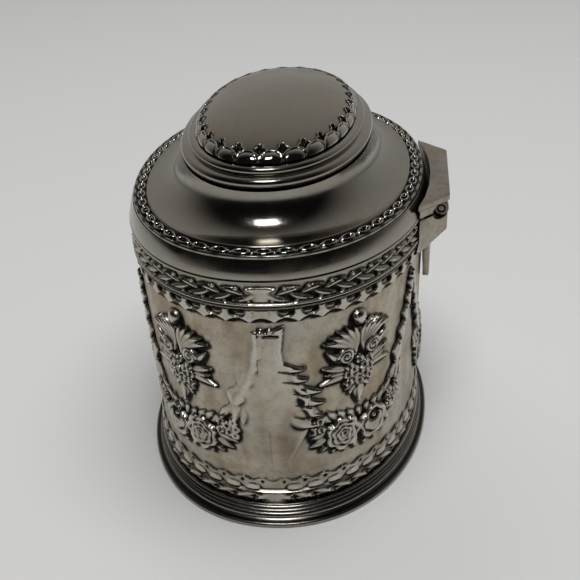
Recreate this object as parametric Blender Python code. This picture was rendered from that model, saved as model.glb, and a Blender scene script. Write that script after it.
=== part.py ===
"""Oval table box with a hinged lid, in silver-plated sheet.

The wall is two pressed half shells that meet in a soldered seam at each narrow end. They stand on
a stepped foot ring, with a base plate on the ring's inner lip and a plain bezel inside the mouth
that the lid closes over. The lid is a rim, a coved shell, a collar of two rounded steps and a
domed boss. A five-knuckle hinge joins lid and wall in the middle of one long side.

Frame: metres, +Z up. The long axis of the oval is X, and the hinge is on the +Y side. The origin
is the bottom centre of the whole object's box.
"""
import math

import bmesh
import bpy
from mathutils import Matrix, Vector

for old in list(bpy.data.objects):
    bpy.data.objects.remove(old)

MM = 0.001

# ---- driving dimensions, in millimetres ----
LID_LENGTH = 107.0          # lid rim, along X
LID_WIDTH = 79.0            # lid rim, along Y
OVAL_POWER = 2.1            # 2 is an ellipse, more is squarer
SEGMENTS = 44               # round the whole oval

WALL_TOP = 72.1             # height of the wall's upper edge
WALL_THICKNESS = 1.0
WALL_INSET_TOP = 1.0        # wall ground inside the lid rim's line, at the mouth
WALL_INSET_FOOT = 2.3       # the same at the foot
GARLAND_RELIEF = 0.5        # mean height of the pressed ornament over the wall's ground
BAND_RELIEF = 0.8           # pressed leaf bands
CORD_RELIEF = 1.1           # pressed cord lines
LOWER_CORD_RISE = 3.7       # lower cord line above the wall's foot
UPPER_CORD_DROP = 5.1       # upper cord line below the wall's upper edge
CORD_WIDTH = 1.1
TONGUE_ROW = 4.6            # height of the row of pressed tongues next to each cord line

FOOT_HEIGHT = 5.9
FOOT_SPREAD = 1.45          # foot flange outside the lid rim's line
FOOT_FLANGE = 1.25          # thickness of the foot's bottom edge
FOOT_LIP = 2.1              # width of the inner lip under wall and base plate
BASE_THICKNESS = 1.0

BEZEL_DEPTH = 14.0          # below the wall's upper edge
BEZEL_RISE = 3.1            # above it, inside the lid
BEZEL_THICKNESS = 0.8
LID_FIT = 0.35              # slack between bezel and lid rim
SEAT_GAP = 0.3              # between pieces that are soldered or that rest on each other

RIM_HEIGHT = 5.6
RIM_LEAN = 0.95             # lid rim's shoulder inside the line of its widest part
RIM_SWELL = 0.05            # its widest part outside the lid rim's line
SHEET = 0.9                 # lid sheet
FLANGE_WIDTH = 4.45         # lid flange, from the rim to the foot of the cove
FLANGE_RISE = 1.3
COVE_WIDTH = 9.1
COVE_HEIGHT = 8.7
COVE_POWER = 2.2
LOWER_STEP = 1.35           # radii of the collar's two rounded steps
UPPER_STEP = 1.05
STEP_SHIFT = 1.8            # the upper step's centre inside the lower one's
STEP_RISE = 2.25            # and above it
BOSS_HEIGHT = 6.4
BOSS_POWER = 1.9
BOSS_THICKNESS = 1.0

HINGE_REACH = 3.0           # hinge axis outside the lid rim
HINGE_RISE = 0.8            # hinge axis above the wall's upper edge
KNUCKLE_RADIUS = 1.9
PIN_RADIUS = 0.8
PIN_CLEARANCE = 0.3
KNUCKLE_COUNT = 5
BARREL_LENGTH = 27.6
END_CLEARANCE = 0.3         # between neighbouring knuckles
LEAF_THICKNESS = 2.0
LEAF_HALF_OUT = 14.9        # half widths of the lid leaf at its outer edge and at the rim
LEAF_HALF_IN = 19.6
LEAF_OVERHANG = 1.5         # leaf plate over its web and the bracket, at each end
LEAF_UNDERCUT = 0.7
LEAF_REACH = 2.0            # leaf plate beyond the hinge axis
BRACKET_REACH = 1.7
BRACKET_DROP = 5.3          # bracket's outer face
BRACKET_SLOPE = 2.5         # how much lower it meets the wall
CORNER_RADIUS = 1.8
TONGUE_LENGTH = 17.0
TONGUE_HALF = 13.0          # half width of the tongue plate at its top
TONGUE_THICKNESS = 1.7

# ---- places that follow from them ----
HALF_LENGTH = LID_LENGTH / 2
HALF_WIDTH = LID_WIDTH / 2
WALL_FOOT = FOOT_HEIGHT + SEAT_GAP
RIM_FOOT = WALL_TOP + SEAT_GAP
RIM_TOP = RIM_FOOT + RIM_HEIGHT
LOWER_CORD = WALL_FOOT + LOWER_CORD_RISE
UPPER_CORD = WALL_TOP - UPPER_CORD_DROP
HINGE_Y = HALF_WIDTH + HINGE_REACH
HINGE_Z = WALL_TOP + HINGE_RISE
OUTER_Y = HINGE_Y + max(LEAF_REACH, KNUCKLE_RADIUS)
OVAL_Y = (HALF_WIDTH + FOOT_SPREAD - OUTER_Y) / 2


def wall_ground(z):
    """Inset of the wall's plain ground at height z."""
    down = (WALL_TOP - z) / (WALL_TOP - WALL_FOOT)
    return WALL_INSET_TOP + (WALL_INSET_FOOT - WALL_INSET_TOP) * down


BEZEL_INSET = wall_ground(WALL_TOP - BEZEL_DEPTH) + WALL_THICKNESS + SEAT_GAP
HEM_INSET = BEZEL_INSET - LID_FIT

# ---- empties: the oval's centre line, and the hinge axis ----
vessel_axis = bpy.data.objects.new("vessel_axis", None)
vessel_axis.location = Vector((0, OVAL_Y, 0)) * MM
lid_hinge_axis = bpy.data.objects.new("lid_hinge_axis", None)
lid_hinge_axis.location = Vector((0, OVAL_Y + HINGE_Y, HINGE_Z)) * MM
for empty in (vessel_axis, lid_hinge_axis):
    bpy.context.scene.collection.objects.link(empty)


def metal(name, colour, roughness):
    material = bpy.data.materials.new(name)
    material.use_nodes = True
    shader = material.node_tree.nodes["Principled BSDF"]
    shader.inputs["Base Color"].default_value = (*colour, 1)
    shader.inputs["Metallic"].default_value = 1.0
    shader.inputs["Roughness"].default_value = roughness
    return material


def finish_object(name, bm, colour, roughness, on_lid=False):
    """Turns a bmesh in oval millimetres into a named object under its axis."""
    bmesh.ops.recalc_face_normals(bm, faces=bm.faces)
    if on_lid:
        bmesh.ops.translate(bm, vec=(0, -HINGE_Y, -HINGE_Z), verts=bm.verts)
    bmesh.ops.scale(bm, vec=(MM, MM, MM), verts=bm.verts)
    mesh = bpy.data.meshes.new(name)
    bm.to_mesh(mesh)
    bm.free()
    mesh.shade_smooth()
    mesh.set_sharp_from_angle(angle=math.radians(35))
    mesh.materials.append(metal(name, colour, roughness))
    piece = bpy.data.objects.new(name, mesh)
    bpy.context.scene.collection.objects.link(piece)
    piece.parent = lid_hinge_axis if on_lid else vessel_axis
    return piece


def cut(piece, tool, operation="DIFFERENCE"):
    """Adds an exact Boolean with a cutter that stays hidden."""
    tool.hide_render = True
    tool.display_type = "WIRE"
    boolean = piece.modifiers.new(tool.name, "BOOLEAN")
    boolean.solver = "EXACT"
    boolean.operation = operation
    boolean.object = tool


def signed_power(value, power):
    return math.copysign(abs(value) ** power, value)


def oval_point(half_x, half_y, angle, z):
    across = 2 / OVAL_POWER
    return Vector((half_x * signed_power(math.cos(angle), across),
                   half_y * signed_power(math.sin(angle), across), z))


def outline(bm, points, closed=True):
    """Vertices and edges through the points, in order."""
    verts = [bm.verts.new(p) for p in points]
    pairs = zip(verts, verts[1:] + verts[:1] if closed else verts[1:])
    return verts + [bm.edges.new(pair) for pair in pairs]


def fill_open_ends(bm):
    open_edges = [edge for edge in bm.edges if edge.is_boundary]
    bmesh.ops.holes_fill(bm, edges=open_edges, sides=0)


def press_to_oval(bm, narrower, first_angle=lambda half_y: 0.0):
    """Presses a turned round shape to the oval. narrower gives a ring's half width across."""
    for vert in bm.verts:
        half_x = math.hypot(vert.co.x, vert.co.y)
        half_y = narrower(half_x)
        start = first_angle(half_y)
        angle = math.atan2(vert.co.y, vert.co.x) % math.tau
        if start:
            angle = start + angle * (math.pi - 2 * start) / math.pi
        vert.co = oval_point(half_x, half_y, angle, vert.co.z)


def turned(profile, sweep=math.tau, steps=SEGMENTS, closed=True):
    """Spins a (radius, height) profile about Z."""
    bm = bmesh.new()
    geom = outline(bm, [Vector((radius, 0, z)) for radius, z in profile], closed)
    bmesh.ops.spin(bm, geom=geom, cent=(0, 0, 0), axis=(0, 0, 1), dvec=(0, 0, 0), angle=sweep,
                   steps=steps, use_merge=sweep == math.tau)
    return bm


def beside_rim(half_x):
    """Half width of a ring that lies evenly inside or outside the lid rim's line."""
    return half_x - HALF_LENGTH + HALF_WIDTH


def swept(profile):
    """A closed (inset, height) profile carried round the whole oval."""
    bm = turned([(HALF_LENGTH - inset, z) for inset, z in profile])
    press_to_oval(bm, beside_rim)
    return bm


def slab(inset, low, high):
    """A flat oval plate or block."""
    bm = turned([(HALF_LENGTH - inset, low), (HALF_LENGTH - inset, high)], closed=False)
    fill_open_ends(bm)
    press_to_oval(bm, beside_rim)
    return bm


def prism(points, push):
    """A flat outline pushed along a vector into a closed block."""
    bm = bmesh.new()
    face = bm.faces.new([bm.verts.new(p) for p in points])
    pushed = bmesh.ops.extrude_face_region(bm, geom=[face], use_keep_orig=True)["geom"]
    bmesh.ops.translate(bm, vec=push, verts=[v for v in pushed if isinstance(v, bmesh.types.BMVert)])
    return bm


def arc(centre_inset, centre_z, radius, start, end, steps):
    """Profile points on a round that bulges outwards; angles in degrees above level."""
    angles = [math.radians(start + (end - start) * i / steps) for i in range(steps + 1)]
    return [(centre_inset - radius * math.cos(a), centre_z + radius * math.sin(a)) for a in angles]


# ---- foot ring: flange, hollow, three fine steps and an inner lip ----
def foot_profile():
    spread, flange, top = -FOOT_SPREAD, FOOT_FLANGE, FOOT_HEIGHT
    hollow_inset = spread + 1.9
    step = (top - flange - 1.3) / 3
    outside = [(spread + 0.15, 0), (spread, 0.35), (spread, flange - 0.3), (spread + 0.25, flange),
               (spread + 1.2, flange + 0.4), (hollow_inset, flange + 1.2)]
    for index in range(3):
        inset = hollow_inset - 0.15 + 0.22 * index
        z = flange + 1.3 + step * (index + 0.5)
        outside += [(inset, z), (inset + 0.3, z + step * 0.45)]
    lip = wall_ground(WALL_FOOT) + FOOT_LIP
    inside = [(lip, top), (lip, top - 1.0), (hollow_inset + 1.6, top - 1.3),
              (hollow_inset + 1.4, flange + 0.7), (hollow_inset + 0.1, 0)]
    return outside + [(hollow_inset + 0.8, top)] + inside


foot_ring = finish_object("foot_ring", swept(foot_profile()), (0.46, 0.44, 0.40), 0.3)

# ---- base plate: lies on the foot's lip, inside the wall ----
base_inset = wall_ground(WALL_FOOT) + WALL_THICKNESS + SEAT_GAP
base_plate = finish_object(
    "base_plate",
    slab(base_inset, WALL_FOOT, WALL_FOOT + BASE_THICKNESS),
    (0.42, 0.40, 0.36), 0.4)


# ---- wall: two pressed half shells with cord lines, leaf bands and tongue rows ----
def wall_outline():
    """Outer (relief, height) steps from the foot up."""
    half = CORD_WIDTH / 2
    return [(BAND_RELIEF * 0.6, WALL_FOOT), (BAND_RELIEF, WALL_FOOT + 0.5),
            (BAND_RELIEF, LOWER_CORD - half), (CORD_RELIEF, LOWER_CORD),
            (BAND_RELIEF, LOWER_CORD + half), (GARLAND_RELIEF, LOWER_CORD + TONGUE_ROW),
            (GARLAND_RELIEF, (LOWER_CORD + UPPER_CORD) / 2),
            (GARLAND_RELIEF, UPPER_CORD - TONGUE_ROW), (BAND_RELIEF, UPPER_CORD - half),
            (CORD_RELIEF, UPPER_CORD), (BAND_RELIEF, UPPER_CORD + half),
            (BAND_RELIEF, WALL_TOP - 0.9), (BAND_RELIEF * 0.25, WALL_TOP - 0.6),
            (BAND_RELIEF * 0.25, WALL_TOP)]


def seam_angle(half_y):
    """Where a half shell starts, half a seam gap short of the narrow end's middle."""
    return math.asin((SEAT_GAP / 2 / half_y) ** (OVAL_POWER / 2))


def half_wall(name, side):
    """The half shell on one long side: side is 1 at the back and -1 at the front."""
    outside = [(wall_ground(z) - relief, z) for relief, z in wall_outline()]
    inside = [(wall_ground(z) + WALL_THICKNESS, z) for z in (WALL_TOP, WALL_FOOT)]
    bm = turned([(HALF_LENGTH - inset, z) for inset, z in outside + inside],
                sweep=math.pi, steps=SEGMENTS // 2)
    fill_open_ends(bm)
    press_to_oval(bm, beside_rim, seam_angle)
    bmesh.ops.scale(bm, vec=(1, side, 1), verts=bm.verts)
    return finish_object(name, bm, (0.50, 0.47, 0.42), 0.38)


wall_front = half_wall("wall_front", -1)
wall_back = half_wall("wall_back", 1)

# ---- mouth bezel: plain strip inside the mouth that the lid closes over ----
bezel_outer, bezel_inner = BEZEL_INSET, BEZEL_INSET + BEZEL_THICKNESS
mouth_bezel = finish_object(
    "mouth_bezel",
    swept([(bezel_outer, WALL_TOP - BEZEL_DEPTH), (bezel_outer, WALL_TOP + BEZEL_RISE - 0.3),
           (bezel_outer + 0.3, WALL_TOP + BEZEL_RISE), (bezel_inner, WALL_TOP + BEZEL_RISE),
           (bezel_inner, WALL_TOP - BEZEL_DEPTH)]),
    (0.50, 0.48, 0.43), 0.3)

# ---- lid rim: rounded edge band, hemmed inside to meet the bezel ----
SHELL_EDGE = 1.65           # shell's outer edge inside the rim's line
ledge = RIM_TOP - SHEET
rim_inner = SHELL_EDGE - SEAT_GAP
lid_rim = finish_object(
    "lid_rim",
    swept([(RIM_LEAN * 0.4, RIM_FOOT), (-RIM_SWELL, RIM_FOOT + 0.5), (-RIM_SWELL, RIM_FOOT + 1.2),
           (RIM_LEAN * 0.3, RIM_FOOT + RIM_HEIGHT * 0.6), (RIM_LEAN * 0.7, RIM_TOP - 0.9),
           (RIM_LEAN, RIM_TOP - 0.15), (rim_inner, RIM_TOP), (rim_inner, ledge),
           (HEM_INSET, ledge), (HEM_INSET, RIM_FOOT)]),
    (0.46, 0.44, 0.40), 0.2, on_lid=True)


# ---- lid shell: flange with two ridges and a channel between them, then the cove ----
def cove_points(offset, steps):
    """From the flange up to the collar, flat at its foot and upright at its top."""
    start_inset = SHELL_EDGE + FLANGE_WIDTH
    start_z = RIM_TOP + FLANGE_RISE
    width, height = COVE_WIDTH + offset, COVE_HEIGHT - offset
    points = []
    for i in range(steps + 1):
        angle = math.pi / 2 * i / steps
        along = 1 - math.cos(angle) ** (2 / COVE_POWER) if i < steps else 1
        across = math.sin(angle) ** (2 / COVE_POWER)
        points.append((start_inset + width * across, start_z - offset + (height + offset) * along))
    return points


def shell_profile():
    edge, flange_end = SHELL_EDGE, SHELL_EDGE + FLANGE_WIDTH
    ridge = RIM_TOP + 0.75
    outside = [(edge, ledge + SEAT_GAP), (edge, ridge - 0.4), (edge + 0.35, ridge),
               (edge + 0.75, ridge - 0.15), (edge + 1.05, ridge - 0.4),
               (flange_end - 1.15, RIM_TOP + FLANGE_RISE - 0.55),
               (flange_end - 0.9, RIM_TOP + FLANGE_RISE - 0.1),
               (flange_end - 0.5, RIM_TOP + FLANGE_RISE + 0.1)]
    cove_top = cove_points(0, 8)
    cove_under = cove_points(SHEET, 8)[::-1]
    inside = [(edge + 1.2, ledge + SEAT_GAP)]
    return outside + cove_top + cove_under + inside


lid_shell = finish_object("lid_shell", swept(shell_profile()), (0.40, 0.39, 0.36), 0.18,
                          on_lid=True)

# ---- collar: two rounded steps soldered on the cove's upper edge ----
cove_end_inset = SHELL_EDGE + FLANGE_WIDTH + COVE_WIDTH
collar_foot = RIM_TOP + FLANGE_RISE + COVE_HEIGHT + SEAT_GAP
lower_inset = cove_end_inset + LOWER_STEP - 0.25
lower_z = collar_foot + LOWER_STEP * math.sin(math.radians(75))
upper_inset, upper_z = lower_inset + STEP_SHIFT, lower_z + STEP_RISE
collar_top = upper_z + UPPER_STEP * math.sin(math.radians(80))
collar_seat = upper_inset + 2.1
lid_collar = finish_object(
    "lid_collar",
    swept(arc(lower_inset, lower_z, LOWER_STEP, -75, 55, 6)
          + arc(upper_inset, upper_z, UPPER_STEP, -45, 80, 5)
          + [(collar_seat, collar_top), (collar_seat, collar_top - 1.0),
             (upper_inset + 0.6, upper_z - 0.6), (lower_inset + 1.3, lower_z + 0.4),
             (lower_inset + 1.3, collar_foot)]),
    (0.38, 0.37, 0.34), 0.15, on_lid=True)

# ---- boss: domed cap with its rim on the collar ----
boss_foot = collar_top + SEAT_GAP
boss_inset = upper_inset + 1.2


def dome_profile(shares, thickness):
    """(radius, height) points of the dome at shares of its half length."""
    half_x = HALF_LENGTH - boss_inset - thickness
    rise = BOSS_HEIGHT - thickness
    return [(half_x * share, boss_foot + rise * (1 - share ** BOSS_POWER) ** (1 / BOSS_POWER))
            for share in shares]


def dome_width(half_x):
    return half_x * (HALF_WIDTH - boss_inset) / (HALF_LENGTH - boss_inset)


outer_shares = [0.1, 0.35, 0.58, 0.76, 0.88, 0.955, 0.99, 1.0]
inner_shares = [1.0, 0.97, 0.8, 0.5, 0.1]
dome = turned(dome_profile(outer_shares, 0) + dome_profile(inner_shares, BOSS_THICKNESS),
              closed=False)
fill_open_ends(dome)
press_to_oval(dome, dome_width)
lid_boss = finish_object("lid_boss", dome, (0.45, 0.42, 0.38), 0.3, on_lid=True)


# ---- hinge ----
def plan_outline(half_out, half_in, reach):
    """Trapezium in plan from inside the wall to the outer edge, with rounded outer corners."""
    inner_y, outer_y = HALF_WIDTH - 4, HINGE_Y + reach
    slope = (half_in - half_out) / (outer_y - HALF_WIDTH)
    half_root = half_out + slope * (outer_y - inner_y)
    turn = math.pi / 2 - math.atan(slope)
    centre = (half_out - CORNER_RADIUS * math.tan(turn / 2), outer_y - CORNER_RADIUS)
    corner = [(centre[0] + CORNER_RADIUS * math.cos(a), centre[1] + CORNER_RADIUS * math.sin(a))
              for a in (math.pi / 2 - turn * step / 3 for step in range(4))]
    right = corner + [(half_root, inner_y)]
    return right + [(-x, y) for x, y in reversed(right)]


def block(plan, low, high):
    return prism([Vector((x, y, low)) for x, y in plan], (0, 0, high - low))


def cutter(name, bm, on_lid):
    return finish_object(name, bm, (0.5, 0.5, 0.5), 0.5, on_lid)


def cylinder(radius, start_x, end_x, segments=24):
    """A closed cylinder on the hinge axis."""
    bm = bmesh.new()
    turn = Matrix.Rotation(math.pi / 2, 4, "Y")
    place = Matrix.Translation(((start_x + end_x) / 2, HINGE_Y, HINGE_Z)) @ turn
    bmesh.ops.create_cone(bm, cap_ends=True, segments=segments, radius1=radius, radius2=radius,
                          depth=end_x - start_x, matrix=place)
    return bm


half_barrel = BARREL_LENGTH / 2
groove_radius = KNUCKLE_RADIUS + SEAT_GAP
leaf_under = HINGE_Z + groove_radius + 0.1
leaf_top = leaf_under + LEAF_THICKNESS

# Lid leaf: flat plate with undercut edges, on a web that follows the lid rim above the parting.
web_plan = plan_outline(LEAF_HALF_OUT - LEAF_OVERHANG, LEAF_HALF_IN - LEAF_OVERHANG, LEAF_REACH - 0.6)
plate_plan = plan_outline(LEAF_HALF_OUT, LEAF_HALF_IN, LEAF_REACH)
plate = block(plate_plan, leaf_under, leaf_top)
lower_edges = [edge for edge in plate.edges if all(v.co.z < leaf_under + 0.01 for v in edge.verts)]
bmesh.ops.bevel(plate, geom=lower_edges, offset=LEAF_UNDERCUT, segments=1, profile=0.5,
                affect="EDGES", material=-1)
hinge_leaf = finish_object("hinge_leaf", plate, (0.47, 0.44, 0.40), 0.3, on_lid=True)
cut(hinge_leaf, cutter("leaf_web", block(web_plan, HINGE_Z + SEAT_GAP, leaf_under + 1), True), "UNION")
cut(hinge_leaf, cutter("rim_clearance", slab(-RIM_SWELL - SEAT_GAP, HINGE_Z - 20, HINGE_Z + 20), True))
cut(hinge_leaf, cutter("lid_groove", cylinder(groove_radius, -40, 40), True))
under_plate = bmesh.new()
bmesh.ops.create_cube(under_plate, size=1, matrix=Matrix.Translation(
    (0, HINGE_Y + 5, leaf_under - 5)) @ Matrix.Diagonal((80, 10, 10, 1)))
cut(hinge_leaf, cutter("under_plate", under_plate, True))

# Bracket: block on the wall with a cradle for the knuckles and a sloping underside.
bracket_plan = plan_outline(LEAF_HALF_OUT - LEAF_OVERHANG, LEAF_HALF_IN - LEAF_OVERHANG,
                            BRACKET_REACH)
bracket_top = WALL_TOP + SEAT_GAP
bracket_foot = bracket_top - BRACKET_DROP - BRACKET_SLOPE
bracket_block = block(bracket_plan, bracket_foot - 4, bracket_top)
outer_edge = Vector((0, HINGE_Y + BRACKET_REACH, bracket_top - BRACKET_DROP))
slope_run = HINGE_REACH + BRACKET_REACH
underside = Vector((0, BRACKET_SLOPE, -slope_run)).normalized()
bmesh.ops.bisect_plane(bracket_block, geom=bracket_block.verts[:] + bracket_block.edges[:]
                       + bracket_block.faces[:], plane_co=outer_edge, plane_no=underside,
                       clear_outer=True)
fill_open_ends(bracket_block)
hinge_bracket = finish_object("hinge_bracket", bracket_block, (0.44, 0.41, 0.36), 0.35)
band_outermost = wall_ground(UPPER_CORD) - CORD_RELIEF
wall_block = slab(band_outermost - SEAT_GAP, HINGE_Z - 20, HINGE_Z + 20)
cut(hinge_bracket, cutter("wall_clearance", wall_block, False))
cut(hinge_bracket, cutter("wall_groove", cylinder(groove_radius, -40, 40), False))


def knuckle(name, slot, on_lid):
    """One tube of the barrel, counted from the -X end, bored for the pin."""
    pitch = BARREL_LENGTH / KNUCKLE_COUNT
    start = -half_barrel + pitch * slot + (END_CLEARANCE / 2 if slot else 0)
    end = -half_barrel + pitch * (slot + 1) - (END_CLEARANCE / 2 if slot < KNUCKLE_COUNT - 1 else 0)
    bore = PIN_RADIUS + PIN_CLEARANCE
    bm = bmesh.new()
    wall = outline(bm, [Vector((x, HINGE_Y + radius, HINGE_Z)) for radius, x in
                        ((KNUCKLE_RADIUS, start), (KNUCKLE_RADIUS, end), (bore, end), (bore, start))])
    bmesh.ops.spin(bm, geom=wall, cent=(0, HINGE_Y, HINGE_Z), axis=(1, 0, 0), dvec=(0, 0, 0),
                   angle=math.tau, steps=20, use_merge=True)
    return finish_object(name, bm, (0.50, 0.47, 0.43), 0.28, on_lid)


body_knuckle_left = knuckle("body_knuckle_left", 0, on_lid=False)
lid_knuckle_left = knuckle("lid_knuckle_left", 1, on_lid=True)
body_knuckle_middle = knuckle("body_knuckle_middle", 2, on_lid=False)
lid_knuckle_right = knuckle("lid_knuckle_right", 3, on_lid=True)
body_knuckle_right = knuckle("body_knuckle_right", 4, on_lid=False)
hinge_pin = finish_object("hinge_pin", cylinder(PIN_RADIUS, -half_barrel, half_barrel, 16),
                          (0.40, 0.38, 0.34), 0.3)


# ---- tongue plate: shield below the bracket that spreads the hinge's load over the wall ----
def bezier(start, lead, follow, end, steps):
    """Points of one cubic curve, without its last one."""
    curve = []
    for i in range(steps):
        t = i / steps
        weights = ((1 - t) ** 3, 3 * t * (1 - t) ** 2, 3 * t ** 2 * (1 - t), t ** 3)
        curve.append(tuple(sum(w * p[axis] for w, p in zip(weights, (start, lead, follow, end)))
                           for axis in (0, 1)))
    return curve


def bracket_underside(y):
    return bracket_foot + BRACKET_SLOPE * (y - HALF_WIDTH) / slope_run


def wall_across(x, inset):
    """How far out the wall stands at x along it."""
    share = abs(x) / (HALF_LENGTH - inset)
    return (HALF_WIDTH - inset) * (1 - share ** OVAL_POWER) ** (1 / OVAL_POWER)


tongue_root = wall_across(TONGUE_HALF, wall_ground(bracket_foot))
tongue_top = bracket_underside(tongue_root) - SEAT_GAP


def tongue_point(across, down):
    """A point of the shield from shares of its half width and its length."""
    return (TONGUE_HALF * across, tongue_top - TONGUE_LENGTH * down)


waist, tip = tongue_point(0.63, 0.7), tongue_point(0, 1)
tongue_side = (bezier(tongue_point(1, 0), tongue_point(0.78, 0.17), tongue_point(0.74, 0.44), waist, 6)
               + bezier(waist, tongue_point(0.57, 0.84), tongue_point(0.3, 0.88), tip, 5))
tongue_outline = tongue_side + [tip] + [(-x, z) for x, z in reversed(tongue_side)]
shield = prism([Vector((x, HALF_WIDTH - 9, z)) for x, z in tongue_outline], (0, 18, 0))
hinge_tongue = finish_object("hinge_tongue", shield, (0.48, 0.45, 0.40), 0.32)


def tongue_sheet():
    """Oval strip of the plate's thickness, just clear of the wall's ornament."""
    profile = []
    for z, thickness in ((tongue_top + 5, 0), (tip[1] - 5, 0), (tip[1] - 5, 1), (tongue_top + 5, 1)):
        face = wall_ground(z) - GARLAND_RELIEF - SEAT_GAP
        profile.append((face - TONGUE_THICKNESS * thickness, z))
    return swept(profile)


cut(hinge_tongue, cutter("tongue_sheet", tongue_sheet(), False), "INTERSECT")
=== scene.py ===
"""Looks of an oval table box with a hinged lid, in tarnished silver plate.

Sizes are in millimetres in the box's own frame, with the middle of its oval on the Z axis; the
finished meshes are scaled to metres and shifted to the oval's place as they are hung on the frame.
"""

import math

import bmesh
import bpy
import numpy as np
from mathutils import Matrix, Vector


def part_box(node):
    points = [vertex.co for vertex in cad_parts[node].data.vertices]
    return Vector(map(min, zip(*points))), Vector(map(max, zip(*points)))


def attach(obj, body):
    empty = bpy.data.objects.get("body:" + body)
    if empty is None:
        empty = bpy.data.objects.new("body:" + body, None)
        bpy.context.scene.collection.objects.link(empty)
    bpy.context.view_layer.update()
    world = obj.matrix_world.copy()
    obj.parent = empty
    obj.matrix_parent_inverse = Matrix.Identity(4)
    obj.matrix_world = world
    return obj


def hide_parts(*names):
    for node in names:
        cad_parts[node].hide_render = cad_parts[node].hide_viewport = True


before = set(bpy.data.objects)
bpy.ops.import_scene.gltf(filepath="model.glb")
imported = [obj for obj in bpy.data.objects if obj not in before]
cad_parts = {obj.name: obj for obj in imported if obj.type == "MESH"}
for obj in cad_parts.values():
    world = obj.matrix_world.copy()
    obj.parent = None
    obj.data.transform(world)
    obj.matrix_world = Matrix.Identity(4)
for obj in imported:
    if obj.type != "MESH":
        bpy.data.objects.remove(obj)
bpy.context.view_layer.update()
MM = 0.001

# ---- camera: a little above the box, looking at its narrow end with the hinge on the right ----
camera_data = bpy.data.cameras.new("camera")
camera_data.sensor_width = 36.0
camera_data.lens = 55.86
camera_data.clip_start = 0.01
camera = bpy.data.objects.new("camera", camera_data)
bpy.context.scene.collection.objects.link(camera)
stand_at, look_at = Vector((223.0, 31.2, 172.0)) * MM, Vector((-0.13, -0.89, 39.6)) * MM
lean = Matrix.Rotation(math.radians(-2.82), 4, "Z")
aim = (look_at - stand_at).to_track_quat("-Z", "Y").to_matrix().to_4x4()
camera.matrix_world = Matrix.Translation(stand_at) @ aim @ lean
bpy.context.scene.camera = camera
bpy.context.scene.view_settings.view_transform = "Standard"

# ---- floor and light: pale matt floor in a room that is pale behind the box and dark on the
# camera's side, with one soft window in front and two panels that light the floor ----
floor_mesh = bpy.data.meshes.new("floor")
bm = bmesh.new()
bmesh.ops.create_grid(bm, x_segments=8, y_segments=8, size=3.0)
bm.to_mesh(floor_mesh)
bm.free()
floor = bpy.data.objects.new("floor", floor_mesh)
bpy.context.scene.collection.objects.link(floor)
floor_paint = bpy.data.materials.new("pale_floor")
floor_paint.use_nodes = True
floor_sockets = floor_paint.node_tree.nodes["Principled BSDF"].inputs
floor_sockets["Base Color"].default_value = (0.62, 0.62, 0.61, 1)
floor_sockets["Roughness"].default_value = 0.85
floor_mesh.materials.append(floor_paint)

DARK_END, PALE_END = 0.008, 0.40    # the room's brightness on the camera's side and opposite
room = bpy.data.worlds.new("room")
room.use_nodes = True
bpy.context.scene.world = room
room_tree = room.node_tree
background = room_tree.nodes["Background"]
background.inputs["Color"].default_value = (1.0, 0.97, 0.93, 1)
direction = room_tree.nodes.new("ShaderNodeTexCoord")
split = room_tree.nodes.new("ShaderNodeSeparateXYZ")
fade = room_tree.nodes.new("ShaderNodeMapRange")
fade.interpolation_type = "SMOOTHSTEP"
for socket, number in (("From Min", 0.2), ("From Max", -1.0), ("To Min", DARK_END),
                       ("To Max", PALE_END)):
    fade.inputs[socket].default_value = number
room_tree.links.new(direction.outputs["Generated"], split.inputs["Vector"])
room_tree.links.new(split.outputs["X"], fade.inputs["Value"])
room_tree.links.new(fade.outputs["Result"], background.inputs["Strength"])


def soft_panel(name, azimuth, height, distance, width, tall, power, mirrored=True):
    """A soft light panel that faces the box from azimuth degrees round from +X; one that isn't
    mirrored lights the floor without showing in the polished metal."""
    panel = bpy.data.lights.new(name, "AREA")
    panel.shape, panel.size, panel.size_y, panel.energy = "RECTANGLE", width, tall, power
    turn = math.radians(azimuth)
    place = Vector((distance * math.cos(turn), distance * math.sin(turn), height))
    holder = bpy.data.objects.new(name, panel)
    bpy.context.scene.collection.objects.link(holder)
    facing = (Vector((0, 0, 0.05)) - place).to_track_quat("-Z", "Y").to_matrix().to_4x4()
    holder.matrix_world = Matrix.Translation(place) @ facing
    holder.visible_glossy = mirrored


soft_panel("front_window", azimuth=-2, height=1.25, distance=0.52, width=0.40, tall=0.40, power=5.0)
soft_panel("left_panel", azimuth=-150, height=1.0, distance=0.9, width=1.0, tall=0.7, power=2.5,
           mirrored=False)
soft_panel("ceiling_panel", azimuth=60, height=1.5, distance=0.3, width=1.0, tall=1.0, power=15.0,
           mirrored=False)

# ---- foot ring: cast and turned band with a flange, a hollow and three fine steps; it stands
# on the floor and carries the wall and the base plate on its inner lip ----
OVAL_POWER = 2.1            # 2 would be an ellipse
rim_low, rim_high = (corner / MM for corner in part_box("lid_rim"))
HALF_LENGTH = (rim_high.x - rim_low.x) / 2 - 0.05
HALF_WIDTH = (rim_high.y - rim_low.y) / 2 - 0.05
OVAL_Y = (rim_low.y + rim_high.y) / 2
FOOT_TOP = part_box("foot_ring")[1].z / MM


def oval(half_x, half_y, turn):
    """Points of the oval with these half axes at turn, in radians from +X."""
    across = 2 / OVAL_POWER
    cos, sin = np.cos(turn), np.sin(turn)
    return (half_x * np.sign(cos) * np.abs(cos) ** across,
            half_y * np.sign(sin) * np.abs(sin) ** across)


def beside_rim(half_x):
    """Half width of a ring that lies evenly inside or outside the lid rim's line."""
    return half_x - HALF_LENGTH + HALF_WIDTH


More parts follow.
